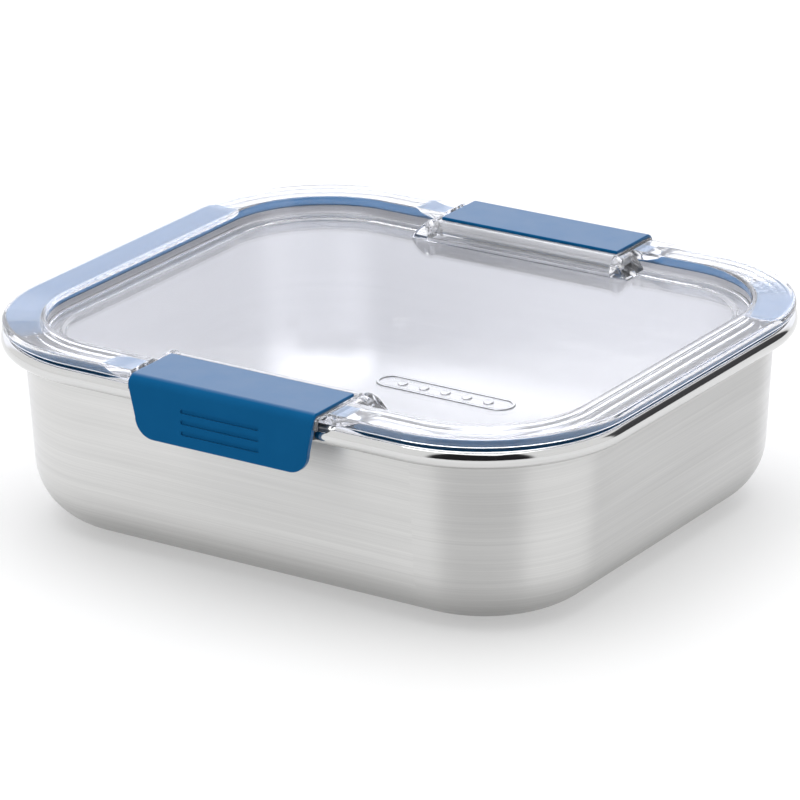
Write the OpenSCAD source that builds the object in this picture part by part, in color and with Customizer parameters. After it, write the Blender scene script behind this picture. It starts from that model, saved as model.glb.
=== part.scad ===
// Lunch box: a drawn steel tub with a rolled rim, a clear lid that carries a soft seal,
// and two hinged clips, each a clear frame with a soft grip moulded over it.
// The origin is at the centre of the base, +Z is up and +X runs along the clip sides.

/* [Tub] */
// Length over the rolled rim
rim_l = 200; // [180:1:230]
// Width over the rolled rim
rim_w = 173.5; // [160:0.5:200]
// Corner radius of the rolled rim, seen from above
rim_corner_r = 45; // [44:0.5:50]
// Height of the rim's crown above the table
rim_z = 57; // [50:1:75]
// Outer radius of the rolled bead
bead_r = 2.8; // [2.6:0.1:3]
// Thickness of the steel
steel_t = 0.7; // [0.5:0.1:0.8]
// How far the wall stands in from the rim's outer edge, at the top
wall_in = 6.4; // [6.2:0.1:6.6]
// Lean of the wall, in degrees
draft = 3.2; // [1:0.1:4]
// Radius between the wall and the floor
floor_r = 18.6; // [14:0.2:20]

/* [Lid] */
// Height of the lid's rim above the rim's crown
lid_rise = 3.5; // [3.4:0.1:3.6]
// How far the lid's skirt stands in from the rim's outer edge
skirt_in = 0.5; // [0.3:0.1:0.7]
// Width of the raised rim of the lid
rim_band = 12.7; // [12.5:0.1:13]
// Depth from the lid's rim to the sunk panel
panel_drop = 5; // [4.8:0.1:5.2]
// Thickness of the sunk panel
panel_t = 1.6; // [1.4:0.1:1.8]

/* [Clips] */
// Width of a clip frame
clip_w = 62.4; // [56:0.2:66]
// Height of a clip's lower edge above the table
clip_foot_z = 43.2; // [40:0.2:45]
// Radius of a clip's two lower corners
clip_corner_r = 6; // [4:0.5:7]
// Radius of the hinge barrel
barrel_r = 2.3; // [2.2:0.05:2.35]
// Radius of the hinge stubs at the ends of the barrel
stub_r = 1.2; // [1:0.05:1.3]
// Radial clearance of the stubs in the lid's ears
stub_gap = 0.05; // [0.02:0.01:0.1]

/* [Hidden] */
$fn = 64;

// Corner centres, as seen from above
corner_x = rim_l / 2 - rim_corner_r;
corner_y = rim_w / 2 - rim_corner_r;

// Heights and places of the tub's rim
bead_z = rim_z - bead_r;
bead_out = rim_corner_r - bead_r;
bend_r = 0.9;
bend_z = rim_z - steel_t - bend_r;
bead_end = -160;

// Lid: heights, and distances out from a corner centre
lid_top = rim_z + lid_rise;
skirt_t = 1.3;
skirt_z = rim_z + 1;
skirt_out = rim_corner_r - skirt_in;
groove_out = skirt_out - skirt_t;
inner_wall = skirt_out - rim_band;
inner_wall_t = 1.5;
groove_in = inner_wall + inner_wall_t;
groove_top = rim_z + 2.7;
groove_top_in = rim_z + 1.6;
edge_r = 1.6;
inner_edge_r = 1;
panel_z = lid_top - panel_drop;
step_out = inner_wall - 4.5;
step_drop = 0.5;

// Clip bay: a lowered stretch of the lid's rim, just wider than the clip
bay_half = clip_w / 2 + 1.8;
bay_ramp = 1.2;
bay_top = rim_z + 1.85;
bay_y0 = corner_y + inner_wall - 1;
bay_y1 = corner_y + skirt_out + 1;

// Under the bay the groove is shallow, and its ends slope up to full depth
shallow_half = clip_w / 2 + 12;
shallow_ramp = 6;
shallow_top = rim_z + 0.9;

// Hinge: its axis lies inboard of the lid's rim
axis_y = corner_y + inner_wall - 6.5;
axis_z = rim_z + 1.1;
clip_gap = 0.3;
ear_in = clip_w / 2 + clip_gap;
ear_t = 1.6;
ear_foot = 4.4;
ear_r = 3.6;
ear_c = [axis_y - 0.6, axis_z - 1.1];
stub_l = 2.2;
stub_hole = 2.2;

// A low ridge on the panel, alongside each hinge
ridge_y = axis_y - 3.65;
ridge_w = 1;
ridge_top = panel_z + 0.7;

// Clip: a plate over the lid's rim, a bend, and an apron down the outside
grip_t = 0.9;
frame_t = 1.05;
clip_top = rim_z + 4;
clip_face_y = rim_w / 2 + 3.25;
bend_out_r = 3;
grip_start_y = axis_y + 2.2;
grip_w = clip_w - 1.2;
apron_taper = 2;
wrap_t = 1.2;
wrap_z = 56.4;
bead_reach = norm([corner_y + bead_out - axis_y, bead_z - axis_z]) + bead_r;
hook_r = bead_reach + 0.16;
hook_z0 = rim_z - 8.4;
hook_z1 = rim_z - 2;
hook_slope = 2;

// Seal: fits the lid's groove, and one lip stands just clear of the crown
seal_gap = 0.1;
seal_foot_z = rim_z + 0.4;
seal_out_z = rim_z + 1;
lip_out = rim_corner_r - 3.6;
lip_in = rim_corner_r - 5.6;
lip_slope = 0.6;
seal_recess = 2.5;
seal_chamfer = 1.8;

// Marks
gate_r = 3;
gate_deep = 0.3;
badge_l = 44;
badge_w = 9;
badge_h = 0.4;
badge_line = 1;
badge_at = [43, -43];
dot_r = 1.5;
dot_pitch = 7;
rib_l = 26;
rib_w = 1.3;
rib_deep = 0.35;
rib_pitch = 3.2;
rib_z = 50.6;

STEEL = [0.78, 0.78, 0.77];
CLEAR = [0.86, 0.91, 0.96, 0.35];
BLUE = [0.08, 0.34, 0.56];

// Points on an arc about c, from angle a0 to a1 in n steps
function arc(c, r, a0, a1, n) =
    [for (i = [0:n]) c + r * [cos(a0 + (a1 - a0) * i / n), sin(a0 + (a1 - a0) * i / n)]];

// Sweeps a profile round the rim. Its x is the distance out from a corner centre, its y the height.
module around_rim() {
    for (q = [[1, 1, 0], [-1, 1, 90], [-1, -1, 180], [1, -1, 270]])
        translate([q[0] * corner_x, q[1] * corner_y, 0])
            rotate([0, 0, q[2]])
                rotate_extrude(angle = 90)
                    children();
    for (turn = [0, 180])
        rotate([0, 0, turn]) {
            translate([corner_x, corner_y, 0])
                rotate([90, 0, 0])
                    linear_extrude(2 * corner_y)
                        children();
            translate([-corner_x, corner_y, 0])
                rotate([90, 0, 90])
                    linear_extrude(2 * corner_x)
                        children();
        }
}

// A flat plate between the four corner centres
module middle_plate(z, t) {
    translate([-corner_x, -corner_y, z])
        cube([2 * corner_x, 2 * corner_y, t]);
}

// A prism along X. The profile's x is the distance from the centre plane, its y the height.
module along_x(w) {
    translate([-w / 2, 0, 0])
        rotate([90, 0, 90])
            linear_extrude(w)
                children();
}

// A prism along Y between y0 and y1. The profile's x is X, its y the height.
module along_y(y0, y1) {
    translate([0, y1, 0])
        rotate([90, 0, 0])
            linear_extrude(y1 - y0)
                children();
}

// Makes the same shape on the front and the rear
module both_sides() {
    children();
    mirror([0, 1, 0])
        children();
}

// ---- Tub ----

wall_x = rim_corner_r - wall_in;
bend_c = [wall_x + bend_r / cos(draft), bend_z];
floor_c = [wall_x - (bend_z - floor_r) * tan(draft) - floor_r / cos(draft), floor_r];
bead_c = [bead_out, bead_z];

module tub_profile() {
    polygon(concat(
        [[0, 0]],
        arc(floor_c, floor_r, -90, -draft, 10),
        arc(bend_c, bend_r, 180 - draft, 90, 4),
        arc(bead_c, bead_r - steel_t, 90, bead_end, 14),
        arc(bead_c, bead_r, bead_end, 90, 14),
        arc(bend_c, bend_r + steel_t, 90, 180 - draft, 5),
        arc(floor_c, floor_r - steel_t, -draft, -90, 10),
        [[0, steel_t]]
    ));
}

module steel_tub() {
    color(STEEL) {
        around_rim()
            tub_profile();
        middle_plate(0, steel_t);
    }
}

// ---- Lid ----

module lid_profile() {
    polygon(concat(
        [[skirt_out, skirt_z]],
        arc([skirt_out - edge_r, lid_top - edge_r], edge_r, 0, 90, 5),
        arc([inner_wall + inner_edge_r, lid_top - inner_edge_r], inner_edge_r, 90, 180, 4),
        arc([inner_wall - inner_edge_r, panel_z + inner_edge_r], inner_edge_r, 0, -90, 4),
        [[step_out, panel_z], [step_out - 1, panel_z - step_drop], [0, panel_z - step_drop]],
        [[0, panel_z - step_drop - panel_t], [step_out, panel_z - step_drop - panel_t]],
        [[step_out + 1, panel_z - panel_t]],
        arc([groove_in - inner_edge_r, panel_z - panel_t + inner_edge_r], inner_edge_r, -90, 0, 4),
        [[groove_in, groove_top_in], [groove_out, groove_top], [groove_out, skirt_z]]
    ));
}

// Region between the height z_to and a line below it that dips in the middle
module dip(half, ramp, z_high, z_low, z_to) {
    polygon([[-half, z_to], [-half, z_high], [ramp - half, z_low],
             [half - ramp, z_low], [half, z_high], [half, z_to]]);
}

// One ear: a lug round the hinge axis, tied to the lid's inner wall, with a sloping outer end
module ear() {
    wall_y = corner_y + inner_wall + 0.5;
    top_z = ear_c[1] + ear_r;
    foot_z = panel_z - 0.6;
    end_x = ear_in + ear_t + ear_foot;
    difference() {
        translate([ear_in, 0, 0])
            rotate([90, 0, 90])
                linear_extrude(ear_t + ear_foot)
                    polygon(concat(
                        [[wall_y, foot_z], [wall_y, lid_top - 0.6]],
                        arc(ear_c, ear_r, 60, 180, 8),
                        [[ear_c[0] - ear_r - 0.2, foot_z]]
                    ));
        translate([ear_in - 1, axis_y, axis_z])
            rotate([0, 90, 0])
                cylinder(r = stub_r + stub_gap, h = stub_hole + 1);
        along_y(0, wall_y + 5)
            polygon([[ear_in + ear_t, top_z + 0.1], [end_x, panel_z + 0.2],
                     [end_x + 1, panel_z + 0.2], [end_x + 1, top_z + 0.1]]);
    }
}

module ridge() {
    along_x(2 * (ear_in + ear_t)) {
        translate([ridge_y, ridge_top - ridge_w / 2])
            circle(d = ridge_w);
        translate([ridge_y - ridge_w / 2, panel_z - 1])
            square([ridge_w, ridge_top - ridge_w / 2 - panel_z + 1]);
    }
}

// Outline of a blank, pill-shaped badge
module pill(l, w) {
    union() {
        square([l - w, w], center = true);
        for (s = [-1, 1])
            translate([s * (l - w) / 2, 0])
                circle(d = w);
    }
}

module badge() {
    linear_extrude(badge_h) {
        difference() {
            pill(badge_l, badge_w);
            pill(badge_l - 2 * badge_line, badge_w - 2 * badge_line);
        }
        for (i = [-2:2])
            translate([i * dot_pitch, 0])
                circle(r = dot_r);
    }
}

module lid_shell() {
    color(CLEAR) {
        difference() {
            union() {
                around_rim()
                    lid_profile();
                middle_plate(panel_z - step_drop - panel_t, panel_t);
                both_sides()
                    along_y(corner_y + groove_in, corner_y + groove_out)
                        dip(shallow_half, shallow_ramp, groove_top, shallow_top, groove_top + 0.3);
            }
            both_sides()
                along_y(bay_y0, bay_y1)
                    dip(bay_half, bay_ramp, lid_top, bay_top, lid_top + 1);
            translate([0, 0, panel_z - step_drop - gate_deep])
                cylinder(r1 = gate_r - 1.5, r2 = gate_r, h = gate_deep + 0.01);
        }
        both_sides() {
            ridge();
            ear();
            mirror([1, 0, 0])
                ear();
        }
        translate([badge_at[0], badge_at[1], panel_z - step_drop])
            badge();
    }
}

// ---- Seal ----

// Height of the groove's ceiling at a distance out from the groove's inner side
function ceiling_at(d) = groove_top_in + (groove_top - groove_top_in) * d / (groove_out - groove_in);

module seal_profile() {
    polygon([
        [groove_out - seal_gap, seal_out_z],
        [groove_out - seal_gap, groove_top - seal_gap],
        [groove_in + seal_gap + seal_chamfer, ceiling_at(seal_chamfer) - seal_gap],
        [groove_in + seal_gap, seal_foot_z + 0.4],
        [groove_in + seal_gap, seal_foot_z],
        [lip_in - lip_slope, seal_foot_z],
        [lip_in, rim_z + seal_gap],
        [lip_out, rim_z + seal_gap],
        [lip_out + lip_slope, seal_out_z]
    ]);
}

module lid_seal() {
    color(BLUE)
        difference() {
            around_rim()
                seal_profile();
            both_sides() {
                along_y(corner_y + groove_in - 1, bay_y1)
                    dip(shallow_half, shallow_ramp, groove_top, shallow_top, groove_top + 1);
                along_y(corner_y + groove_out - seal_recess, bay_y1)
                    dip(shallow_half, shallow_ramp, groove_top, rim_z, groove_top + 1);
            }
        }
}

// ---- Clips, drawn at +Y ----

frame_face_y = clip_face_y - grip_t;
frame_back_y = frame_face_y - frame_t;
bend_at = [clip_face_y - bend_out_r, clip_top - bend_out_r];

// y of the hook's inner face, a curve about the hinge axis, at height z
function hook_y(z) = axis_y + sqrt(hook_r * hook_r - (z - axis_z) * (z - axis_z));
HOOK_STEPS = 8;
hook_face = [for (i = [0:HOOK_STEPS])
    let (z = hook_z0 + (hook_z1 - hook_z0) * i / HOOK_STEPS)
    [min(hook_y(z), frame_back_y), z]];

module frame_profile() {
    polygon(concat(
        [[axis_y, clip_top - grip_t - frame_t], [axis_y, axis_z + barrel_r - 0.2]],
        [[grip_start_y, clip_top - grip_t]],
        arc(bend_at, bend_out_r - grip_t, 90, 0, 6),
        [[frame_face_y, clip_foot_z], [frame_back_y, clip_foot_z]],
        [[frame_back_y, hook_z0 - hook_slope]],
        hook_face,
        arc(bend_at, bend_out_r - grip_t - frame_t, 0, 90, 5)
    ));
    translate([axis_y, axis_z])
        circle(r = barrel_r);
}

// The grip's apron is as thick as grip and frame together, for its wrapped edges
module grip_profile() {
    polygon(concat(
        [[grip_start_y, clip_top - grip_t], [grip_start_y, clip_top - 0.3],
         [grip_start_y + 0.3, clip_top]],
        arc(bend_at, bend_out_r, 90, 0, 8),
        [[clip_face_y, clip_foot_z + 0.3], [clip_face_y - 0.3, clip_foot_z]],
        [[frame_back_y, clip_foot_z], [frame_back_y, wrap_z], [frame_face_y, wrap_z]],
        arc(bend_at, bend_out_r - grip_t, 0, 90, 6)
    ));
}

// Front view of a clip: full width at the top, tapering to two round lower corners
module clip_outline(w, foot_z, r) {
    half = w / 2;
    low = half - apron_taper;
    polygon(concat(
        [[half, clip_top + 1], [half, clip_top - bend_out_r]],
        arc([low - r, foot_z + r], r, 0, -90, 8),
        arc([r - low, foot_z + r], r, -90, -180, 8),
        [[-half, clip_top - bend_out_r], [-half, clip_top + 1]]
    ));
}

// The frame's apron, which lies inside the wrapped edges of the grip
module apron_outline() {
    intersection() {
        clip_outline(grip_w - 2 * wrap_t, clip_foot_z + wrap_t, clip_corner_r - wrap_t);
        translate([-clip_w / 2, 0])
            square([clip_w, wrap_z + 0.2]);
    }
}

module clip_frame() {
    color(CLEAR) {
        intersection() {
            along_x(clip_w)
                frame_profile();
            along_y(axis_y - 5, clip_face_y + 5) {
                apron_outline();
                translate([-clip_w / 2, wrap_z])
                    square([clip_w, clip_top + 1 - wrap_z]);
            }
        }
        translate([-clip_w / 2 - stub_l, axis_y, axis_z])
            rotate([0, 90, 0])
                cylinder(r = stub_r, h = clip_w + 2 * stub_l);
    }
}

module clip_grip() {
    color(BLUE)
        difference() {
            intersection() {
                along_x(grip_w)
                    grip_profile();
                along_y(axis_y - 5, clip_face_y + 5)
                    clip_outline(grip_w, clip_foot_z, clip_corner_r);
            }
            along_y(frame_back_y - 1, frame_face_y)
                apron_outline();
            for (i = [-1:1])
                translate([-rib_l / 2, clip_face_y - rib_deep, rib_z + i * rib_pitch - rib_w / 2])
                    cube([rib_l, rib_deep + 1, rib_w]);
        }
}

module front_clip_frame() {
    mirror([0, 1, 0])
        clip_frame();
}

module front_clip_grip() {
    mirror([0, 1, 0])
        clip_grip();
}

module rear_clip_frame() {
    clip_frame();
}

module rear_clip_grip() {
    clip_grip();
}

steel_tub();
lid_shell();
lid_seal();
front_clip_frame();
front_clip_grip();
rear_clip_frame();
rear_clip_grip();
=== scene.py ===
"""Lunch box: a steel tub with a rolled rim, a clear lid with a blue seal, and two clips with blue grips.

Every piece is built here in metres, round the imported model's frame, from the dimensions below.
"""

from math import cos, hypot, pi, radians, sin, sqrt

import bmesh
import bpy
from mathutils import Matrix, Vector


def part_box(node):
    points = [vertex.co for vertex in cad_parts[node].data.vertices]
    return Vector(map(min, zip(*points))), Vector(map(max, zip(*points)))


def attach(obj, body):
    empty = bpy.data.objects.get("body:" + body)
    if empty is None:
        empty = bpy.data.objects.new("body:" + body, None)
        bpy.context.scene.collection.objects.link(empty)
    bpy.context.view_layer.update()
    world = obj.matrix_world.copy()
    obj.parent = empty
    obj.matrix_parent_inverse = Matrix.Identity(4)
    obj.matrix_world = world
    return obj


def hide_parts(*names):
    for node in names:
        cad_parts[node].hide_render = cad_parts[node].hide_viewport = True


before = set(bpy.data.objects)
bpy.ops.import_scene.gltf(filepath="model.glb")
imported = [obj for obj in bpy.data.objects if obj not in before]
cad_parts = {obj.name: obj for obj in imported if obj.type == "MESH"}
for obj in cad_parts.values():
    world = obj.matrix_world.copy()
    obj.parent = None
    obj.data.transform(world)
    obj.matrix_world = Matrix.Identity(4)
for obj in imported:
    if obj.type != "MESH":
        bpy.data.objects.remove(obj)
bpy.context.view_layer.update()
MM = 0.001

# ---- Dimensions, worked out from the frame where it gives them ----

TUB_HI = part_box("steel_tub")[1]
LID_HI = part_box("lid_shell")[1]
GRIP_LO, GRIP_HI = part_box("rear_clip_grip")
FRAME_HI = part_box("rear_clip_frame")[1]

RIM_Z = TUB_HI.z
CORNER_R = 45 * MM
CORNER_X = TUB_HI.x - CORNER_R
CORNER_Y = TUB_HI.y - CORNER_R

STEEL_T = 0.7 * MM
BEAD_R = 2.8 * MM
BEND_R = 0.9 * MM
WALL_OUT = CORNER_R - 6.4 * MM
FLOOR_R = 18.6 * MM
DRAFT = radians(3.2)
BEAD_END = radians(-160)

LID_TOP = RIM_Z + 3.5 * MM
SKIRT_Z = RIM_Z + MM
SKIRT_OUT = LID_HI.x - CORNER_X
GROOVE_OUT = SKIRT_OUT - 1.3 * MM
INNER_WALL = SKIRT_OUT - 12.7 * MM
GROOVE_IN = INNER_WALL + 1.5 * MM
GROOVE_TOP = RIM_Z + 2.7 * MM
GROOVE_TOP_IN = RIM_Z + 1.6 * MM
PANEL_Z = LID_TOP - 5 * MM
PANEL_T = 1.6 * MM
STEP_OUT = INNER_WALL - 4.5 * MM
STEP_DROP = 0.5 * MM

BAY_TOP = RIM_Z + 1.85 * MM
BAY_FLAT = FRAME_HI.x - 1.6 * MM
BAY_RAMP = 1.2 * MM
SHALLOW_TOP = RIM_Z + 0.9 * MM
SHALLOW_FLAT = 37.2 * MM
SHALLOW_RAMP = 6 * MM

AXIS_Y = CORNER_Y + INNER_WALL - 6.5 * MM
AXIS_Z = RIM_Z + 1.1 * MM
BARREL_R = 2.3 * MM
STUB_R = 1.2 * MM
STUB_HOLE_R = 1.25 * MM
STUB_END = FRAME_HI.x
CLIP_HALF = STUB_END - 2.2 * MM
EAR_IN = CLIP_HALF + 0.3 * MM
EAR_TOP_T = 1.6 * MM
EAR_FOOT = 4.4 * MM
EAR_R = 3.6 * MM
EAR_C = (AXIS_Y - 0.6 * MM, AXIS_Z - 1.1 * MM)
RIDGE_Y = AXIS_Y - 3.65 * MM
RIDGE_W = MM
RIDGE_TOP = PANEL_Z + 0.7 * MM

GRIP_T = 0.9 * MM
FRAME_T = 1.05 * MM
CLIP_TOP = GRIP_HI.z
CLIP_FACE = GRIP_HI.y
CLIP_FOOT = GRIP_LO.z
CLIP_BEND = 3 * MM
CLIP_CORNER = 6 * MM
TAPER = 2 * MM
GRIP_HALF = GRIP_HI.x
GRIP_START = GRIP_LO.y
WRAP_T = 1.2 * MM
WRAP_Z = 56.4 * MM


# ---- Shapes ----

def arc(cx, cy, r, a0, a1, n):
    """n + 1 points on an arc about (cx, cy), from angle a0 to a1."""
    return [(cx + r * cos(a0 + (a1 - a0) * i / n), cy + r * sin(a0 + (a1 - a0) * i / n))
            for i in range(n + 1)]


def mix(a, b, t):
    return a + (b - a) * t


def smooth(a, b, x):
    """0 below a, 1 above b, with an S-shaped rise between."""
    t = min(1, max(0, (x - a) / (b - a)))
    return t * t * (3 - 2 * t)


def new_object(name, verts, faces, uvs=None):
    mesh = bpy.data.meshes.new(name)
    mesh.from_pydata(verts, [], faces)
    if uvs:
        layer = mesh.uv_layers.new(name="UVMap")
        layer.data.foreach_set("uv", [c for uv in uvs for c in uv])
    tidy = bmesh.new()
    tidy.from_mesh(mesh)
    bmesh.ops.recalc_face_normals(tidy, faces=tidy.faces)
    tidy.to_mesh(mesh)
    tidy.free()
    obj = bpy.data.objects.new(name, mesh)
    bpy.context.scene.collection.objects.link(obj)
    return obj


def stations():
    """Places round the rim, anticlockwise from above: a base point and the outward direction."""
    step = 0.15 * MM
    fine = [BAY_FLAT - 2 * step + i * step for i in range(13)]
    coarse = [i * 3.4 * MM for i in range(10)] + [35 * MM + i * 1.5 * MM for i in range(10)]
    half = sorted(set(round(x, 6) for x in fine + coarse if x < CORNER_X - MM))
    along_x = [-x for x in reversed(half) if x > 0] + half
    along_y = [CORNER_Y * (i / 6 - 1) for i in range(1, 12)]
    corner_steps = 28
    places = []
    for turn, (cx, cy) in enumerate([(CORNER_X, -CORNER_Y), (CORNER_X, CORNER_Y),
                                     (-CORNER_X, CORNER_Y), (-CORNER_X, -CORNER_Y)]):
        for i in range(corner_steps + 1):
            a = (turn - 1) * pi / 2 + i * pi / 2 / corner_steps
            places.append((cx, cy, cos(a), sin(a)))
        if turn == 0:
            places += [(CORNER_X, y, 1, 0) for y in along_y]
        elif turn == 1:
            places += [(-x, CORNER_Y, 0, 1) for x in along_x]
        elif turn == 2:
            places += [(-CORNER_X, -y, -1, 0) for y in along_y]
        else:
            places += [(x, -CORNER_Y, 0, -1) for x in along_x]
    return places


TRACK = stations()


def loft(name, profile, closed):
    """Sweeps profile(place), a list of (distance out, height), round the rim. Open profiles are capped."""
    rows = [profile(p) for p in TRACK]
    n, m = len(rows[0]), len(TRACK)
    verts = [(p[0] + p[2] * u, p[1] + p[3] * u, z) for p, row in zip(TRACK, rows) for u, z in row]
    along = [0]
    for i in range(m):
        a, b = TRACK[i], TRACK[(i + 1) % m]
        ax, ay = a[0] + a[2] * WALL_OUT, a[1] + a[3] * WALL_OUT
        bx, by = b[0] + b[2] * WALL_OUT, b[1] + b[3] * WALL_OUT
        along.append(along[-1] + hypot(bx - ax, by - ay))
    across = [0]
    for j in range(n):
        (au, az), (bu, bz) = rows[0][j], rows[0][(j + 1) % n]
        across.append(across[-1] + hypot(bu - au, bz - az))
    faces, uvs = [], []
    for i in range(m):
        k = (i + 1) % m
        for j in range(n if closed else n - 1):
            l = (j + 1) % n
            faces.append((i * n + j, k * n + j, k * n + l, i * n + l))
            uvs += [(along[i], across[j]), (along[i + 1], across[j]),
                    (along[i + 1], across[j + 1]), (along[i], across[j + 1])]
    if not closed:
        for j in (0, n - 1):
            ring = [i * n + j for i in range(m)]
            faces.append(ring)
            uvs += [(verts[v][0], verts[v][1]) for v in ring]
    return new_object(name, verts, faces, uvs)


def finish_mesh(obj, angle=35):
    """Smooth faces, sharp edges only where they turn by more than the angle, and flat faces kept flat."""
    obj.data.shade_smooth()
    obj.data.set_sharp_from_angle(angle=radians(angle))
    modifier = obj.modifiers.new("flat_faces", "WEIGHTED_NORMAL")
    modifier.keep_sharp = True
    modifier.weight = 80


def baked(obj):
    """obj's mesh with its modifiers applied."""
    graph = bpy.context.evaluated_depsgraph_get()
    mesh = bpy.data.meshes.new_from_object(obj.evaluated_get(graph))
    obj.modifiers.clear()
    old = obj.data
    obj.data = mesh
    bpy.data.meshes.remove(old)


def combine(obj, others, operation):
    """Joins the other solids to obj, or cuts them out of it, and removes them."""
    for other in others:
        modifier = obj.modifiers.new(operation.lower(), "BOOLEAN")
        modifier.operation = operation
        modifier.solver = "EXACT"
        modifier.object = other
    baked(obj)
    for other in others:
        mesh = other.data
        bpy.data.objects.remove(other)
        bpy.data.meshes.remove(mesh)


def bevel(obj, width, segments=3, angle=30):
    modifier = obj.modifiers.new("bevel", "BEVEL")
    modifier.width = width
    modifier.segments = segments
    modifier.limit_method = "ANGLE"
    modifier.angle_limit = radians(angle)
    modifier.harden_normals = False
    baked(obj)


def prism(name, outline, place, depth0, depth1):
    """A solid between two copies of an outline. place(a, b, depth) gives the point."""
    n = len(outline)
    verts = [place(a, b, d) for d in (depth0, depth1) for a, b in outline]
    faces = [tuple(range(n)), tuple(range(n, 2 * n))]
    faces += [(i, (i + 1) % n, n + (i + 1) % n, n + i) for i in range(n)]
    return new_object(name, verts, faces)


def turned(name, profile, segments=64):
    """A solid of revolution about the X axis. profile holds (x, radius) pairs, from end to end."""
    verts, faces = [], []
    n = len(profile)
    for i in range(segments):
        a = 2 * pi * i / segments
        verts += [(x, r * cos(a), r * sin(a)) for x, r in profile]
    for i in range(segments):
        k = (i + 1) % segments
        faces += [(i * n + j, k * n + j, k * n + j + 1, i * n + j + 1) for j in range(n - 1)]
    for j in (0, n - 1):
        faces.append([i * n + j for i in range(segments)])
    return new_object(name, verts, faces)


# ---- Tub ----

BRUSHED, POLISHED, SATIN = 0, 1, 2


def tub_parts():
    """The tub's section as (finish, points), from mid-underside round to the middle of its floor."""
    bend_z = RIM_Z - STEEL_T - BEND_R
    bead_z = RIM_Z - BEAD_R
    bend_u = WALL_OUT + BEND_R / cos(DRAFT)
    floor_u = WALL_OUT - (bend_z - FLOOR_R) * (sin(DRAFT) / cos(DRAFT)) - FLOOR_R / cos(DRAFT)
    bead_u = CORNER_R - BEAD_R
    outside = arc(floor_u, FLOOR_R, FLOOR_R, -pi / 2, -DRAFT, 20)
    wall_top = arc(bend_u, bend_z, BEND_R, pi - DRAFT, pi / 2, 6)
    curl_in = arc(bead_u, bead_z, BEAD_R - STEEL_T, pi / 2, BEAD_END, 24)
    lip_reach = BEAD_R - STEEL_T / 2
    lip = arc(bead_u + lip_reach * cos(BEAD_END), bead_z + lip_reach * sin(BEAD_END),
              STEEL_T / 2, BEAD_END + pi, BEAD_END, 6)[1:-1]
    curl_out = arc(bead_u, bead_z, BEAD_R, BEAD_END, pi / 2, 36)
    mouth = arc(bend_u, bend_z, BEND_R + STEEL_T, pi / 2, pi - DRAFT, 10)
    inside = arc(floor_u, FLOOR_R, FLOOR_R - STEEL_T, -DRAFT, -pi / 2, 20)
    wall = [(mix(outside[-1][0], wall_top[0][0], i / 6), mix(outside[-1][1], wall_top[0][1], i / 6))
            for i in range(1, 6)]
    liner = [(mix(mouth[-1][0], inside[0][0], i / 6), mix(mouth[-1][1], inside[0][1], i / 6))
             for i in range(1, 6)]
    return [(BRUSHED, outside + wall + wall_top), (POLISHED, curl_in + lip + curl_out),
            (SATIN, mouth + liner + inside)]


def make_tub():
    parts = tub_parts()
    section = [point for _, points in parts for point in points]
    finishes = [finish for finish, points in parts for _ in points]
    tub = loft("steel_tub_drawn", lambda place: section, closed=False)
    strips = len(section) - 1
    for i, face in enumerate(tub.data.polygons):
        face.material_index = finishes[i % strips]
    underside, floor = tub.data.polygons[-2], tub.data.polygons[-1]
    underside.material_index = BRUSHED
    floor.material_index = SATIN
    finish_mesh(tub, angle=60)
    return tub


# ---- Lid ----

def bay_share(place):
    """1 where the lid's rim is lowered for a clip, 0 elsewhere."""
    return 1 - smooth(BAY_FLAT, BAY_FLAT + BAY_RAMP, abs(place[0])) if abs(place[3]) == 1 else 0


def shallow_share(place):
    """1 where the groove is shallow, under a clip, 0 elsewhere."""
    if abs(place[3]) != 1:
        return 0
    return 1 - min(1, max(0, (abs(place[0]) - SHALLOW_FLAT) / SHALLOW_RAMP))


def groove_ceiling(place):
    """Heights of the groove's ceiling at its outer and inner edge.

    It falls towards the inside, but towards the outside along the rear.
    """
    rear = smooth(0.03, 0.12, place[3])
    shallow = shallow_share(place)
    outer, inner = mix(GROOVE_TOP, GROOVE_TOP_IN, rear), mix(GROOVE_TOP_IN, GROOVE_TOP, rear)
    return mix(outer, SHALLOW_TOP, shallow), mix(inner, SHALLOW_TOP, shallow)


def lid_profile(place):
    bay, shallow = bay_share(place), shallow_share(place)
    ceiling_out, ceiling_in = groove_ceiling(place)
    top = mix(LID_TOP, BAY_TOP, bay)
    skirt_z = mix(SKIRT_Z, SHALLOW_TOP, shallow)
    r_out = mix(1.6, 0.5, bay) * MM
    r_in = mix(1.0, 0.45, bay) * MM
    foot_r = MM
    small = 0.25 * MM
    tiny = mix(small, 0.01 * MM, shallow)
    low = PANEL_Z - STEP_DROP
    points = [(STEP_OUT - 1.2 * MM, low), (STEP_OUT - MM, low), (STEP_OUT - 0.5 * MM, mix(low, PANEL_Z, 0.5)),
              (STEP_OUT, PANEL_Z), (STEP_OUT + 0.2 * MM, PANEL_Z)]
    points += arc(INNER_WALL - foot_r, PANEL_Z + foot_r, foot_r, -pi / 2, 0, 6)
    points += arc(INNER_WALL + r_in, top - r_in, r_in, pi, pi / 2, 8)
    points += arc(SKIRT_OUT - r_out, top - r_out, r_out, pi / 2, 0, 8)
    points += arc(SKIRT_OUT - small, skirt_z + small, small, 0, -pi / 2, 3)
    points += arc(GROOVE_OUT + tiny, skirt_z + tiny, tiny, -pi / 2, -pi, 3)
    points += [(GROOVE_OUT, ceiling_out + 0.01 * MM), (GROOVE_IN, ceiling_in)]
    points += arc(GROOVE_IN - foot_r, PANEL_Z - PANEL_T + foot_r, foot_r, 0, -pi / 2, 6)
    points += [(STEP_OUT + 1.2 * MM, PANEL_Z - PANEL_T), (STEP_OUT + MM, PANEL_Z - PANEL_T),
               (STEP_OUT, low - PANEL_T), (STEP_OUT - 0.2 * MM, low - PANEL_T)]
    return points


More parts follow.
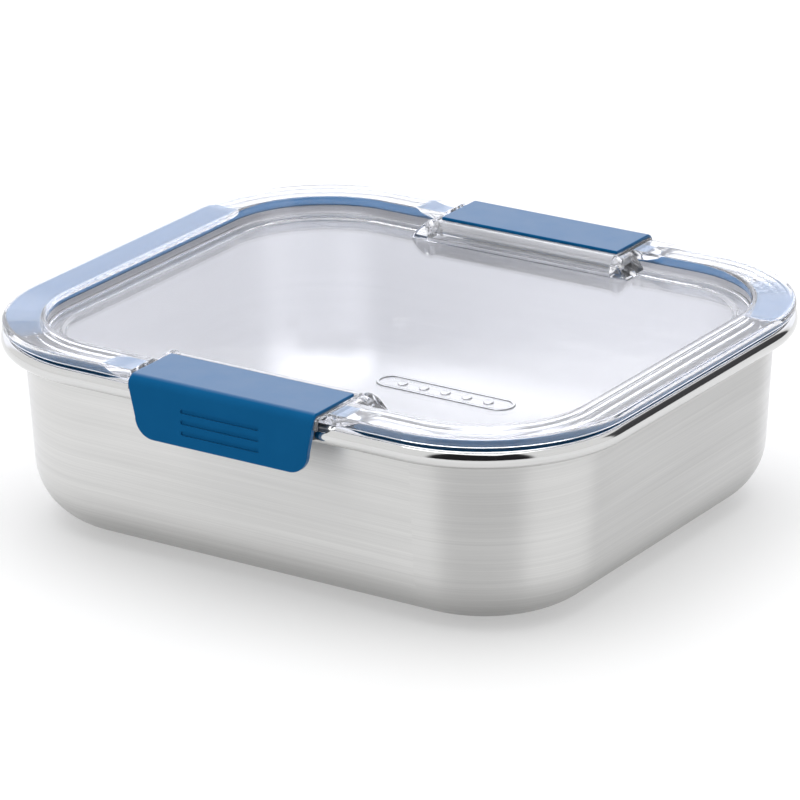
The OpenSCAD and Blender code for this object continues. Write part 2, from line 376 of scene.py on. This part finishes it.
def make_ear(side_x, side_y):
    wall = CORNER_Y + INNER_WALL + 0.5 * MM
    foot_z = PANEL_Z - 0.6 * MM
    top_z = EAR_C[1] + EAR_R
    outline = [(wall, foot_z), (wall, LID_TOP - 0.6 * MM)]
    outline += arc(EAR_C[0], EAR_C[1], EAR_R, radians(60), pi, 14)
    outline += [(EAR_C[0] - EAR_R - 0.2 * MM, foot_z)]

    def place(y, z, depth):
        drop = (top_z - z) / (top_z - PANEL_Z)
        x = EAR_IN if depth == 0 else EAR_IN + EAR_TOP_T + EAR_FOOT * drop
        return (side_x * x, side_y * y, z)

    ear = prism("ear", outline, place, 0, 1)
    bevel(ear, 0.8 * MM, 5)
    return ear


def make_ridge(side_y):
    """A low round-topped ridge on the panel, between the ears and alongside the hinge barrel."""
    half = RIDGE_W / 2
    outline = [(RIDGE_Y - half, PANEL_Z - MM)] + arc(RIDGE_Y, RIDGE_TOP - half, half, pi, 0, 12)
    outline += [(RIDGE_Y + half, PANEL_Z - MM)]
    end = EAR_IN + EAR_TOP_T
    return prism("ridge", outline, lambda y, z, x: (x, side_y * y, z), -end, end)


def stub_hole(side_x, side_y):
    hole = turned("hole", [(EAR_IN - MM, STUB_HOLE_R), (STUB_END + 0.3 * MM, STUB_HOLE_R)], 48)
    half_turn = Matrix.Rotation(pi if side_x < 0 else 0, 4, "Z")
    hole.data.transform(Matrix.Translation((0, side_y * AXIS_Y, AXIS_Z)) @ half_turn)
    return hole


def capsule(half, radius, n=12):
    """Outline of a round-ended bar along X."""
    right_end = arc(half - radius, 0, radius, -pi / 2, pi / 2, n)
    return right_end + arc(radius - half, 0, radius, pi / 2, 3 * pi / 2, n)


def raised(name, outer, inner, at, z, height):
    """A low flat-topped ridge with softened edges, between an outer outline and an inner one, or solid."""
    soft = 0.15 * MM
    n = len(outer)

    def ring(outline, grow, level):
        size = [hypot(x, y) for x, y in outline]
        return [(at[0] + x * (1 + grow / s), at[1] + y * (1 + grow / s), level)
                for (x, y), s in zip(outline, size)]

    rings = [ring(outer, 0, z - soft), ring(outer, 0, z + height - soft), ring(outer, -soft, z + height)]
    if inner:
        rings += [ring(inner, soft, z + height), ring(inner, 0, z + height - soft), ring(inner, 0, z - soft)]
    verts = [v for r in rings for v in r]
    count = len(rings)
    faces = []
    for k in range(count if inner else count - 1):
        l = (k + 1) % count
        faces += [(k * n + i, k * n + (i + 1) % n, l * n + (i + 1) % n, l * n + i) for i in range(n)]
    if not inner:
        faces += [tuple(range(n)), tuple(range((count - 1) * n, count * n))]
    return new_object(name, verts, faces)


def make_lid():
    lid = loft("lid_clear_shell", lid_profile, closed=False)
    corners = [(sx, sy) for sx in (1, -1) for sy in (1, -1)]
    level = PANEL_Z - STEP_DROP
    at = (43 * MM, -43 * MM)
    marks = [raised("badge", capsule(22 * MM, 4.5 * MM), capsule(21 * MM, 3.5 * MM), at, level, 0.4 * MM)]
    dot = arc(0, 0, 1.5 * MM, 0, 2 * pi * 23 / 24, 23)
    marks += [raised("dot", dot, None, (at[0] + i * 7 * MM, at[1]), level, 0.4 * MM) for i in range(-2, 3)]
    combine(lid, [make_ear(*c) for c in corners] + [make_ridge(1), make_ridge(-1)] + marks, "UNION")
    gate = turned("gate", [(0, 1.5 * MM), (0.3 * MM, 3 * MM), (MM, 3 * MM)], 40)
    gate.data.transform(Matrix.Translation((0, 0, level - 0.3 * MM)) @ Matrix.Rotation(-pi / 2, 4, "Y"))
    combine(lid, [stub_hole(*c) for c in corners] + [gate], "DIFFERENCE")
    finish_mesh(lid)
    return lid


# ---- Seal ----

def seal_profile(place):
    """A band that fills the lid's groove, with one soft lip on the crown of the steel."""
    shallow = shallow_share(place)
    gap = 0.1 * MM
    soft = 0.2 * MM
    ceiling_out, ceiling_in = groove_ceiling(place)
    top, top_in = ceiling_out - gap, min(ceiling_in, GROOVE_TOP_IN) - gap
    out = GROOVE_OUT - gap - 2.5 * MM * shallow
    low_out = mix(RIM_Z + MM, RIM_Z + 0.4 * MM, shallow)
    low_in = mix(RIM_Z + 0.8 * MM, top_in, shallow)
    lip_in, lip_out = CORNER_R - 5.6 * MM, min(CORNER_R - 3.6 * MM, out - MM)
    foot_z = RIM_Z + 0.4 * MM
    slope = 0.6 * MM
    points = [(out, top - soft), (out - soft, top - 0.1 * soft)]
    chamfer = 1.8 * MM
    share = (chamfer + gap) / (GROOVE_OUT - GROOVE_IN)
    points += [(GROOVE_IN + gap + chamfer, mix(top_in, top, share)), (GROOVE_IN + gap, low_in)]
    points += [(GROOVE_IN + gap, foot_z)]
    points += [(lip_in - slope, foot_z), (lip_in - soft, RIM_Z + gap + soft)]
    points += arc(lip_in + soft, RIM_Z + gap + soft, soft, -3 * pi / 4, -pi / 2, 2)
    points += arc(lip_out - soft, RIM_Z + gap + soft, soft, -pi / 2, -pi / 4, 2)
    return points + [(lip_out + slope / 2, low_out), (out - soft, low_out), (out, low_out + soft)]


def make_seal():
    seal = loft("seal_ring", seal_profile, closed=True)
    finish_mesh(seal)
    return seal


# ---- Clips, built at the rear and turned round for the front ----

PLATE_L = CLIP_FACE - CLIP_BEND
BEND_L = CLIP_BEND * pi / 2


def bent(x, s, depth):
    """A point on the clip.

    s runs from y = 0 over the plate, round the bend and down the apron; depth is inwards.
    """
    if s < PLATE_L:
        return (x, s, CLIP_TOP - depth)
    turn = (s - PLATE_L) / CLIP_BEND
    if turn < pi / 2:
        r = CLIP_BEND - depth
        return (x, PLATE_L + r * sin(turn), CLIP_TOP - CLIP_BEND + r * cos(turn))
    return (x, CLIP_FACE - depth, CLIP_TOP - CLIP_BEND - (s - PLATE_L - BEND_L))


FOOT_S = PLATE_L + BEND_L + CLIP_TOP - CLIP_BEND - CLIP_FOOT
WRAP_S = PLATE_L + BEND_L + CLIP_TOP - CLIP_BEND - WRAP_Z


def apron_edge(half, start_s, foot_s, corner):
    """The tapering side of an apron and its round lower corner, from start_s down."""
    bend_end = PLATE_L + BEND_L

    def side(s):
        return half - TAPER * (s - bend_end) / (FOOT_S - CLIP_CORNER - bend_end)

    end = foot_s - corner
    points = [(side(mix(start_s, end, i / 5)), mix(start_s, end, i / 5)) for i in range(5)]
    return points + arc(side(end) - corner, end, corner, 0, pi / 2, 14)


def plate_edge(half, start, start_corner):
    """The side of a clip's plate and bend, from its inboard edge to the foot of the bend."""
    points = arc(half - start_corner, start + start_corner, start_corner, -pi / 2, 0, 5)
    points += [(half, mix(start + start_corner, PLATE_L, i / 4)) for i in range(1, 4)]
    return points + [(half, PLATE_L + BEND_L * i / 10) for i in range(10)]


def inset(points, distance):
    """The edge moved in by a distance, towards the centre line x = 0 and the sheet's middle."""
    moved = []
    last = len(points) - 1
    for i, (x, s) in enumerate(points):
        ax, a_s = points[max(0, i - 1)]
        bx, b_s = points[min(last, i + 1)]
        if i == 0:
            ax, a_s = x - MM, s
        if i == last:
            bx, b_s = x - MM, s
        length = hypot(bx - ax, b_s - a_s)
        moved.append((x - distance * (b_s - a_s) / length, s + distance * (bx - ax) / length))
    return moved


def bent_sheet(name, edge, top_depth, under_depth, soft):
    """A bent sheet with rounded outer edges. edge is its right-hand edge, and the left is its mirror."""
    steps = 5
    rings = [(edge, under_depth)]
    for k in range(steps + 1):
        a = pi / 2 * k / steps
        rings.append((inset(edge, soft * (1 - cos(a))), top_depth + soft * (1 - sin(a))))
    n = len(edge)
    verts, faces = [], []
    for points, depth in rings:
        verts += [bent(x, s, depth) for x, s in points]
        verts += [bent(-x, s, depth) for x, s in reversed(points)]
    for k in range(len(rings) - 1):
        a, b = k * 2 * n, (k + 1) * 2 * n
        faces += [(a + i, a + (i + 1) % (2 * n), b + (i + 1) % (2 * n), b + i) for i in range(2 * n)]
    for base in (0, (len(rings) - 1) * 2 * n):
        faces += [(base + i, base + i + 1, base + 2 * n - 2 - i, base + 2 * n - 1 - i) for i in range(n - 1)]
    return new_object(name, verts, faces)


def upright(name, edge, y0, y1):
    """A solid between two upright planes. edge is its right-hand edge in (x, s); the left mirrors it."""
    outline = [bent(x, s, 0) for x, s in edge]
    outline = [(x, z) for x, y, z in outline] + [(-x, z) for x, y, z in reversed(outline)]
    return prism(name, outline, lambda x, z, y: (x, y, z), y0, y1)


def make_grip():
    """The blue skin over a clip's plate and bend, wrapped round the edges of its apron."""
    side = apron_edge(GRIP_HALF, PLATE_L + BEND_L, FOOT_S, CLIP_CORNER)
    grip = bent_sheet("rear_grip_skin", plate_edge(GRIP_HALF, GRIP_START, 0.4 * MM) + side,
                      0, GRIP_T - 0.02 * MM, 0.4 * MM)
    back = CLIP_FACE - GRIP_T - FRAME_T
    wrap = upright("wrap", apron_edge(GRIP_HALF, WRAP_S, FOOT_S, CLIP_CORNER), back, CLIP_FACE - 0.5 * MM)
    bevel(wrap, 0.25 * MM, 3, 60)
    combine(grip, [wrap], "UNION")
    inner = apron_edge(GRIP_HALF - WRAP_T, WRAP_S - MM, FOOT_S - WRAP_T, CLIP_CORNER - WRAP_T)
    pocket = upright("pocket", inner, back - MM, CLIP_FACE - GRIP_T + 0.02 * MM)
    combine(grip, [pocket], "DIFFERENCE")
    deep = 0.35 * MM
    ribs = []
    for i in (-1, 0, 1):
        z = 50.6 * MM + i * 3.2 * MM
        outline = capsule(13 * MM, 0.65 * MM)
        ribs.append(prism("rib", outline, lambda a, b, d: (a, d, z + b), CLIP_FACE - deep, CLIP_FACE + MM))
    combine(grip, ribs, "DIFFERENCE")
    finish_mesh(grip, angle=40)
    return grip


def make_frame():
    """The clear frame: plate, bend and apron, with the hinge barrel, its stubs and the hook."""
    shrink = WRAP_T + 0.02 * MM
    edge = plate_edge(CLIP_HALF, AXIS_Y, 0.3 * MM)
    edge += [(CLIP_HALF, PLATE_L + BEND_L), (CLIP_HALF, WRAP_S - 0.02 * MM)]
    edge += apron_edge(GRIP_HALF - shrink, WRAP_S - 0.02 * MM, FOOT_S - shrink, CLIP_CORNER - shrink)
    clip = bent_sheet("rear_clip_core", edge, GRIP_T, GRIP_T + FRAME_T, 0.2 * MM)
    edge_r = 0.35 * MM
    barrel = [(-STUB_END, STUB_R - 0.2 * MM), (0.2 * MM - STUB_END, STUB_R), (-CLIP_HALF + 0.3 * MM, STUB_R),
              (-CLIP_HALF + 0.3 * MM, STUB_R + 0.3 * MM), (-CLIP_HALF, STUB_R + 0.4 * MM)]
    barrel += [(-CLIP_HALF + edge_r * (1 - sin(a)), BARREL_R - edge_r * (1 - cos(a)))
               for a in [pi / 2 * (1 - i / 4) for i in range(5)]]
    barrel += [(-x, r) for x, r in reversed(barrel)]
    hinge = turned("hinge", barrel)
    hinge.data.transform(Matrix.Translation((0, AXIS_Y, AXIS_Z)))
    reach = hypot(CORNER_Y + CORNER_R - BEAD_R - AXIS_Y, RIM_Z - BEAD_R - AXIS_Z) + BEAD_R + 0.16 * MM
    low, high = RIM_Z - 8.4 * MM, RIM_Z - 2 * MM
    back = CLIP_FACE - GRIP_T - FRAME_T
    face = [mix(low, high, i / 14) for i in range(15)]
    ridge = [(back + 0.3 * MM, low - 2.3 * MM)]
    ridge += [(min(back, AXIS_Y + sqrt(reach ** 2 - (z - AXIS_Z) ** 2)), z) for z in face]
    ridge += [(back + 0.3 * MM, high + 0.3 * MM)]
    hook = prism("hook", ridge, lambda y, z, d: (d, y, z), -26 * MM, 26 * MM)
    bevel(hook, 0.25 * MM, 2)
    combine(clip, [hinge, hook], "UNION")
    finish_mesh(clip)
    return clip


def turned_round(obj, name):
    """A copy of obj turned half a turn about the vertical."""
    copy = obj.copy()
    copy.data = obj.data.copy()
    copy.name = name
    copy.data.name = name
    copy.data.transform(Matrix.Rotation(pi, 4, "Z"))
    bpy.context.scene.collection.objects.link(copy)
    return copy


# ---- Materials ----

def material(name):
    made = bpy.data.materials.new(name)
    made.use_nodes = True
    nodes, links = made.node_tree.nodes, made.node_tree.links
    return made, nodes, links, nodes["Principled BSDF"]


def noise(nodes, links, source, scale, size, detail=3):
    """A noise texture on the source coordinates, stretched by a vector."""
    stretch = nodes.new("ShaderNodeMapping")
    stretch.inputs["Scale"].default_value = scale
    links.new(source, stretch.inputs["Vector"])
    texture = nodes.new("ShaderNodeTexNoise")
    texture.inputs["Scale"].default_value = size
    texture.inputs["Detail"].default_value = detail
    links.new(stretch.outputs["Vector"], texture.inputs["Vector"])
    return texture.outputs["Fac"]


def spread(nodes, links, source, low, high):
    """Maps the middle of a noise onto a range."""
    ranged = nodes.new("ShaderNodeMapRange")
    ranged.inputs["From Min"].default_value = 0.3
    ranged.inputs["From Max"].default_value = 0.7
    ranged.inputs["To Min"].default_value = low
    ranged.inputs["To Max"].default_value = high
    links.new(source, ranged.inputs["Value"])
    return ranged.outputs["Result"]


def ramp(nodes, links, source, colours):
    """Colours spread evenly along a factor."""
    made = nodes.new("ShaderNodeValToRGB")
    made.color_ramp.elements[0].color = (*colours[0], 1)
    made.color_ramp.elements[1].color = (*colours[-1], 1)
    links.new(source, made.inputs["Fac"])
    return made.outputs["Color"]


def bump(nodes, links, source, strength, distance):
    made = nodes.new("ShaderNodeBump")
    made.inputs["Strength"].default_value = strength
    made.inputs["Distance"].default_value = distance
    links.new(source, made.inputs["Height"])
    return made.outputs["Normal"]


def shaded_up(nodes, links, uv, colour, low, high, share):
    """Painted shade: the colour times a share, rising to the full colour between two distances up from the
    base.
    """
    parts = nodes.new("ShaderNodeSeparateXYZ")
    links.new(uv, parts.inputs["Vector"])
    fade = nodes.new("ShaderNodeMapRange")
    fade.interpolation_type = "SMOOTHSTEP"
    fade.inputs["From Min"].default_value = low
    fade.inputs["From Max"].default_value = high
    fade.inputs["To Min"].default_value = share
    links.new(parts.outputs["Y"], fade.inputs["Value"])
    mixed = nodes.new("ShaderNodeMixRGB")
    mixed.blend_type = "MULTIPLY"
    mixed.inputs["Fac"].default_value = 1
    links.new(colour, mixed.inputs["Color1"])
    links.new(fade.outputs["Result"], mixed.inputs["Color2"])
    return mixed.outputs["Color"]


def brushed_steel(name, dark, bright, rough, anisotropy, base_painted_shade=1):
    """Stainless sheet with a fine grain that runs round the wall, and broader faint streaks in it.

    The last argument darkens the sheet round its base: painted shade, for the shadowed floor that the base
    mirrors.
    """
    made, nodes, links, shader = material(name)
    uv = nodes.new("ShaderNodeUVMap")
    uv.uv_map = "UVMap"
    grain = noise(nodes, links, uv.outputs["UV"], (14, 2600, 1), 1, 5)
    streaks = noise(nodes, links, uv.outputs["UV"], (9, 620, 1), 1, 3)
    patches = noise(nodes, links, uv.outputs["UV"], (10, 60, 1), 1, 2)
    both = nodes.new("ShaderNodeMath")
    both.operation = "ADD"
    links.new(spread(nodes, links, grain, 0, 0.5), both.inputs[0])
    links.new(spread(nodes, links, streaks, 0, 0.5), both.inputs[1])
    colour = ramp(nodes, links, both.outputs[0], [dark, bright])
    # Painted shade: the wall's colour darkens towards its base.
    colour = shaded_up(nodes, links, uv.outputs["UV"], colour, 13 * MM, 29 * MM, base_painted_shade)
    links.new(colour, shader.inputs["Base Color"])
    links.new(spread(nodes, links, patches, rough - 0.03, rough + 0.03), shader.inputs["Roughness"])
    links.new(bump(nodes, links, both.outputs[0], 0.25, 0.00002), shader.inputs["Normal"])
    tangent = nodes.new("ShaderNodeTangent")
    tangent.direction_type = "UV_MAP"
    tangent.uv_map = "UVMap"
    links.new(tangent.outputs["Tangent"], shader.inputs["Tangent"])
    shader.inputs["Metallic"].default_value = 1
    shader.inputs["Anisotropic"].default_value = anisotropy
    shader.inputs["Anisotropic Rotation"].default_value = 0.25
    return made


def polished_steel():
    """The rolled rim: buffed bright, with faint marks of the roller."""
    made, nodes, links, shader = material("steel_polished")
    uv = nodes.new("ShaderNodeUVMap")
    uv.uv_map = "UVMap"
    marks = noise(nodes, links, uv.outputs["UV"], (30, 1500, 1), 1, 3)
    links.new(ramp(nodes, links, marks, [(0.6, 0.6, 0.595), (0.7, 0.7, 0.695)]), shader.inputs["Base Color"])
    links.new(spread(nodes, links, marks, 0.07, 0.11), shader.inputs["Roughness"])
    links.new(bump(nodes, links, marks, 0.1, 0.00002), shader.inputs["Normal"])
    shader.inputs["Metallic"].default_value = 1
    return made


def clear_plastic(name, tint, waviness, clarity):
    """Clear moulded plastic. clarity is 1 less its haze, and lamps light what is behind it."""
    made, nodes, links, shader = material(name)
    shader.inputs["Base Color"].default_value = (*tint, 1)
    shader.inputs["Transmission Weight"].default_value = clarity
    shader.inputs["IOR"].default_value = 1.5
    place = nodes.new("ShaderNodeTexCoord").outputs["Object"]
    wave = noise(nodes, links, place, (1, 1, 1), 55, 1)
    haze = noise(nodes, links, place, (1, 1, 1), 400, 3)
    links.new(spread(nodes, links, haze, 0.015, 0.035), shader.inputs["Roughness"])
    links.new(bump(nodes, links, wave, waviness, 0.0005), shader.inputs["Normal"])
    through = nodes.new("ShaderNodeBsdfTransparent")
    through.inputs["Color"].default_value = (*[mix(c, 1, 0.3) for c in tint], 1)
    lamps = nodes.new("ShaderNodeLightPath")
    either = nodes.new("ShaderNodeMixShader")
    links.new(lamps.outputs["Is Shadow Ray"], either.inputs["Fac"])
    links.new(shader.outputs["BSDF"], either.inputs[1])
    links.new(through.outputs["BSDF"], either.inputs[2])
    links.new(either.outputs["Shader"], nodes["Material Output"].inputs["Surface"])
    return made


def silicone():
    made, nodes, links, shader = material("silicone_blue")
    place = nodes.new("ShaderNodeTexCoord").outputs["Object"]
    cloud = noise(nodes, links, place, (1, 1, 1), 300, 2)
    blue = ramp(nodes, links, cloud, [(0.006, 0.1, 0.25), (0.01, 0.125, 0.29)])
    links.new(blue, shader.inputs["Base Color"])
    links.new(spread(nodes, links, cloud, 0.35, 0.45), shader.inputs["Roughness"])
    return made


def soft_touch():
    """The grips' blue overmould: a very fine matt grain, with a pale gloss at a slant."""
    made, nodes, links, shader = material("soft_touch_blue")
    place = nodes.new("ShaderNodeTexCoord").outputs["Object"]
    grain = noise(nodes, links, place, (1, 1, 1), 5000, 3)
    cloud = noise(nodes, links, place, (1, 1, 1), 140, 2)
    blue = ramp(nodes, links, cloud, [(0.006, 0.098, 0.25), (0.008, 0.112, 0.28)])
    links.new(blue, shader.inputs["Base Color"])
    links.new(spread(nodes, links, cloud, 0.3, 0.36), shader.inputs["Roughness"])
    slant = nodes.new("ShaderNodeLayerWeight")
    slant.inputs["Blend"].default_value = 0.5
    gloss = nodes.new("ShaderNodeMapRange")
    gloss.inputs["From Min"].default_value = 0.3
    gloss.inputs["From Max"].default_value = 0.65
    gloss.inputs["To Max"].default_value = 0.6
    links.new(slant.outputs["Facing"], gloss.inputs["Value"])
    links.new(gloss.outputs["Result"], shader.inputs["Specular IOR Level"])
    links.new(bump(nodes, links, grain, 0.2, 0.00005), shader.inputs["Normal"])
    return made


def floor_material():
    """The white sheet of a light table, which glows."""
    made, _, _, shader = material("floor")
    shader.inputs["Base Color"].default_value = (0.6, 0.6, 0.6, 1)
    shader.inputs["Roughness"].default_value = 0.8
    shader.inputs["Specular IOR Level"].default_value = 0.1
    shader.inputs["Emission Color"].default_value = (1, 1, 1, 1)
    shader.inputs["Emission Strength"].default_value = 0.36
    return made


# ---- Studio ----

def make_camera():
    target = Vector((0, 0, 0.030))
    azimuth, elevation, roll = radians(33.485), radians(20.677), radians(-0.672)
    distance = 1.4311
    aim = (0.000378, -0.000664)
    back = Vector((sin(azimuth) * cos(elevation), -cos(azimuth) * cos(elevation), sin(elevation)))
    right = Vector((cos(azimuth), sin(azimuth), 0))
    up = back.cross(right)
    cam_x = cos(roll) * right + sin(roll) * up
    cam_y = cos(roll) * up - sin(roll) * right
    data = bpy.data.cameras.new("camera")
    data.lens = 223.9
    data.sensor_width = 36
    data.clip_end = 20
    camera = bpy.data.objects.new("camera", data)
    spot = target + back * distance - cam_x * aim[0] - cam_y * aim[1]
    turn = Matrix((cam_x, cam_y, back)).transposed().to_4x4()
    camera.matrix_world = Matrix.Translation(spot) @ turn
    bpy.context.scene.collection.objects.link(camera)
    bpy.context.scene.camera = camera


def area_light(name, azimuth, elevation, distance, size, power):
    """A soft panel aimed at the box. Azimuth 0 is in front, and it grows towards +X."""
    data = bpy.data.lights.new(name, "AREA")
    data.shape = "RECTANGLE"
    data.size, data.size_y = size
    data.energy = power
    lamp = bpy.data.objects.new(name, data)
    a, e = radians(azimuth), radians(elevation)
    away = Vector((sin(a) * cos(e), -cos(a) * cos(e), sin(e)))
    lamp.location = away * distance
    lamp.rotation_euler = away.to_track_quat("Z", "Y").to_euler()
    bpy.context.scene.collection.objects.link(lamp)
    return lamp


def sector(nodes, links, azimuth, width, low, high, soft):
    """1 in the part of the sky round an azimuth and between two heights, fading to 0 at its edges."""
    direction = nodes.new("ShaderNodeTexCoord").outputs["Generated"]
    parts = nodes.new("ShaderNodeSeparateXYZ")
    links.new(direction, parts.inputs["Vector"])
    a = radians(azimuth)
    turned_to = nodes.new("ShaderNodeVectorMath")
    turned_to.operation = "DOT_PRODUCT"
    turned_to.inputs[1].default_value = (sin(a), -cos(a), 0)
    links.new(direction, turned_to.inputs[0])
    level = nodes.new("ShaderNodeMath")
    level.operation = "MULTIPLY"
    links.new(parts.outputs["Z"], level.inputs[0])
    links.new(parts.outputs["Z"], level.inputs[1])
    flat = nodes.new("ShaderNodeMath")
    flat.operation = "SUBTRACT"
    flat.inputs[0].default_value = 1
    links.new(level.outputs[0], flat.inputs[1])
    root = nodes.new("ShaderNodeMath")
    root.operation = "SQRT"
    links.new(flat.outputs[0], root.inputs[0])
    facing = nodes.new("ShaderNodeMath")
    facing.operation = "DIVIDE"
    links.new(turned_to.outputs["Value"], facing.inputs[0])
    links.new(root.outputs[0], facing.inputs[1])
    shares = []
    for source, start, end in ((facing.outputs[0], cos(radians(width + soft)), cos(radians(width))),
                               (parts.outputs["Z"], sin(radians(low - soft)), sin(radians(low))),
                               (parts.outputs["Z"], sin(radians(high + soft)), sin(radians(high)))):
        fade = nodes.new("ShaderNodeMapRange")
        fade.interpolation_type = "SMOOTHSTEP"
        fade.inputs["From Min"].default_value = start
        fade.inputs["From Max"].default_value = end
        links.new(source, fade.inputs["Value"])
        shares.append(fade.outputs["Result"])
    for extra in shares[1:]:
        both = nodes.new("ShaderNodeMath")
        both.operation = "MULTIPLY"
        links.new(shares[0], both.inputs[0])
        links.new(extra, both.inputs[1])
        shares[0] = both.outputs[0]
    return shares[0]


# Azimuth, half width, lowest and highest elevation and softness in degrees, and colour
SKY_SECTORS = (
    (29, 33, -12, 85, 6, (0.02, 0.02, 0.022)),
    (146, 14, -12, 30, 4, (0.07, 0.07, 0.075)),
    (213, 40, 3, 45, 10, (1.35, 1.37, 1.47)),
    (212, 20, 20.4, 32, 0.5, (1.8, 1.82, 1.9)),
)


def make_sky():
    """A white studio tent, which the steel and the plastic mirror.

    It has two dark openings, and a bright backdrop with a brighter strip in it.
    """
    world = bpy.data.worlds.new("studio")
    bpy.context.scene.world = world
    world.use_nodes = True
    nodes, links = world.node_tree.nodes, world.node_tree.links
    colour = None
    for azimuth, width, low, high, soft, shade in SKY_SECTORS:
        mixed = nodes.new("ShaderNodeMixRGB")
        links.new(sector(nodes, links, azimuth, width, low, high, soft), mixed.inputs["Fac"])
        mixed.inputs["Color1"].default_value = (1, 1, 1, 1)
        mixed.inputs["Color2"].default_value = (*shade, 1)
        if colour:
            links.new(colour, mixed.inputs["Color1"])
        colour = mixed.outputs["Color"]
    links.new(colour, nodes["Background"].inputs["Color"])


def allow_long_paths():
    """Lets light take the many turns it makes inside thick clear plastic."""
    cycles = bpy.context.scene.cycles
    cycles.max_bounces = 20
    cycles.glossy_bounces = 12
    cycles.transmission_bounces = 16


def make_floor():
    half = 1.6
    floor = new_object("floor", [(-half, -half, 0), (half, -half, 0), (half, half, 0), (-half, half, 0)],
                       [(0, 1, 2, 3)])
    floor.data.materials.append(floor_material())


# ---- Putting it together ----

def dress(obj, body, node, slot, *materials):
    for m in materials:
        obj.data.materials.append(m)
    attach(obj, body)
    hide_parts(node)


make_camera()
make_sky()
make_floor()
area_light("overhead", 0, 88, 1.6, (1.6, 1.6), 14)
allow_long_paths()
bpy.context.scene.view_settings.view_transform = "Standard"

tub = make_tub()
# The last number darkens the wall round its base: painted shade.
wall_steel = brushed_steel("steel_brushed", (0.66, 0.658, 0.65), (0.77, 0.768, 0.758), 0.42, 0.9, 0.68)
inner_steel = brushed_steel("steel_satin", (0.74, 0.74, 0.75), (0.82, 0.82, 0.83), 0.4, 0.6)
dress(tub, "tub", "steel_tub", "steel", wall_steel, polished_steel(), inner_steel)

lid = make_lid()
lid_plastic = clear_plastic("plastic_clear_lid", (0.955, 0.96, 0.985), 0.03, 0.975)
dress(lid, "lid", "lid_shell", "clear_lid", lid_plastic)
seal = make_seal()
dress(seal, "lid", "lid_seal", "seal_silicone", silicone())

grip = make_grip()
core = make_frame()
front_grip = turned_round(grip, "front_grip_skin")
front_core = turned_round(core, "front_clip_core")
skin = soft_touch()
core_plastic = clear_plastic("plastic_clear_clip", (0.982, 0.984, 0.993), 0.02, 0.9)
dress(grip, "rear_clip", "rear_clip_grip", "grip_soft", skin)
dress(core, "rear_clip", "rear_clip_frame", "clear_clip", core_plastic)
dress(front_grip, "front_clip", "front_clip_grip", "grip_soft", skin)
dress(front_core, "front_clip", "front_clip_frame", "clear_clip", core_plastic)
